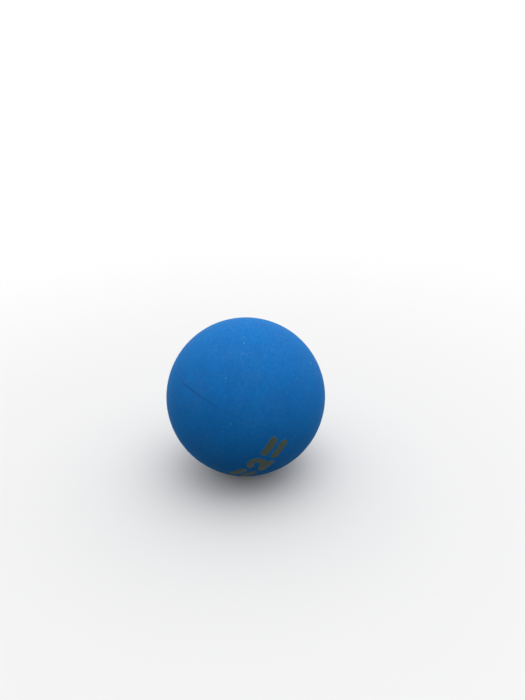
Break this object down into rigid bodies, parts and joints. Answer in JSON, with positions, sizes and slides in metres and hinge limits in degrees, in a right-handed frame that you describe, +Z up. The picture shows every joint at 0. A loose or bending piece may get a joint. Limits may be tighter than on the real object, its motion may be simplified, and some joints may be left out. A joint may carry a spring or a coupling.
{
  "type": "racquetball",
  "caption": "Hollow blue rubber ball for racquet play, moulded as half shells joined rim to rim by a ring of cured cement, with a plain ink print.",
  "frame": {"origin": "centre of the ball", "axes": "+Z up and -Y towards the viewer, as the ball lies in the picture; the pole of its joint leans 29 degrees from +Z, towards a heading 22 degrees from +X to +Y"},
  "size_m": [0.0572, 0.0572, 0.0572],
  "materials": {
    "blue_rubber": "matte",
    "cured_cement": "satin",
    "olive_ink": "matte"
  },
  "bodies": {
    "root": {"upper_half_shell": "blue_rubber", "lower_half_shell": "blue_rubber", "seam_cement": "cured_cement", "ink_print": "olive_ink"}
  },
  "joints": []
}
